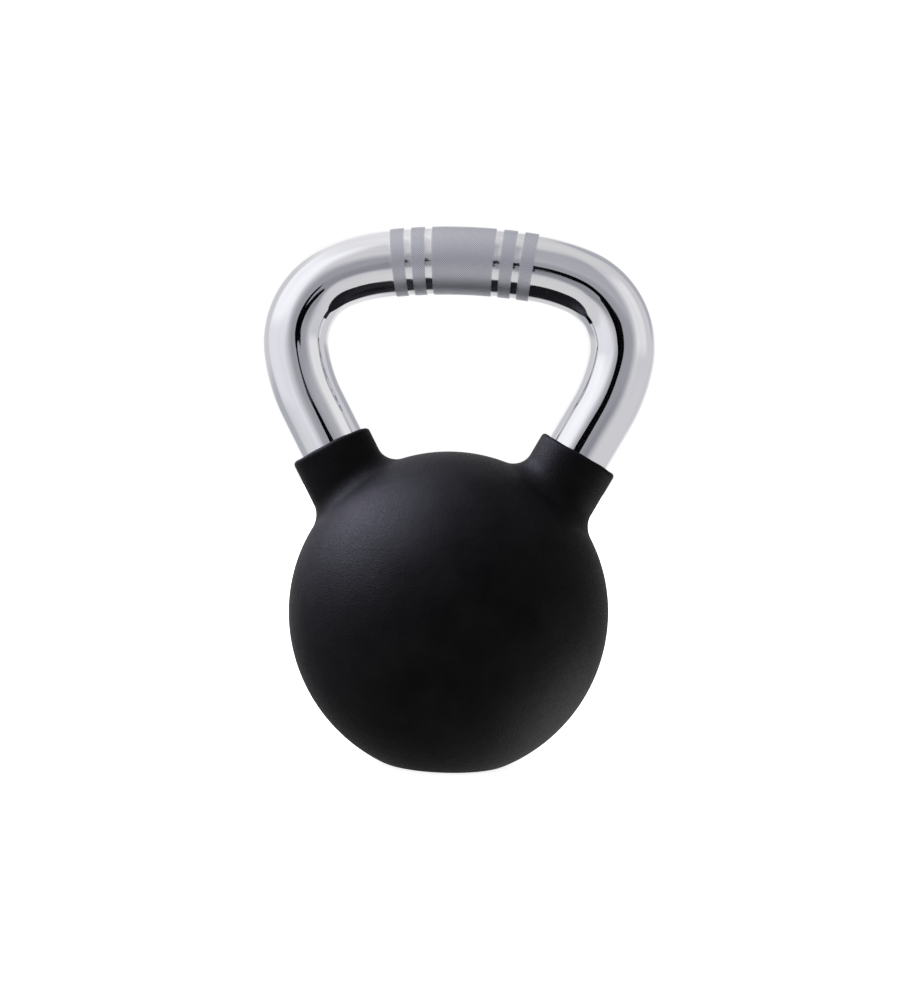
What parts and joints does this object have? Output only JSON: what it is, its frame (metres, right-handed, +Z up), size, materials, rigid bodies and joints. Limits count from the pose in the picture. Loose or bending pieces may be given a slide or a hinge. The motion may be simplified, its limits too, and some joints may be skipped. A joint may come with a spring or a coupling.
{
  "type": "kettlebell",
  "caption": "Rubber-covered iron ball kettlebell with a bent chrome bar handle, knurled across the grip, its legs standing in two rubber collars.",
  "frame": {"origin": "middle of the flat foot, on the floor", "axes": "+Z up, X across the handle from leg to leg, Y through the hand window from front to back"},
  "size_m": [0.1936, 0.1574, 0.265],
  "materials": {
    "chrome": "mirror polished, with satin rolled diamond knurling across the grip",
    "iron": "as cast, milled at the two seats",
    "weld_metal": "as welded",
    "rubber": "matte black with a fine moulded grain"
  },
  "bodies": {
    "root": {"handle_bar": "chrome", "iron_core": "iron", "weld_left": "weld_metal", "weld_right": "weld_metal", "rubber_cover": "rubber"}
  },
  "joints": []
}
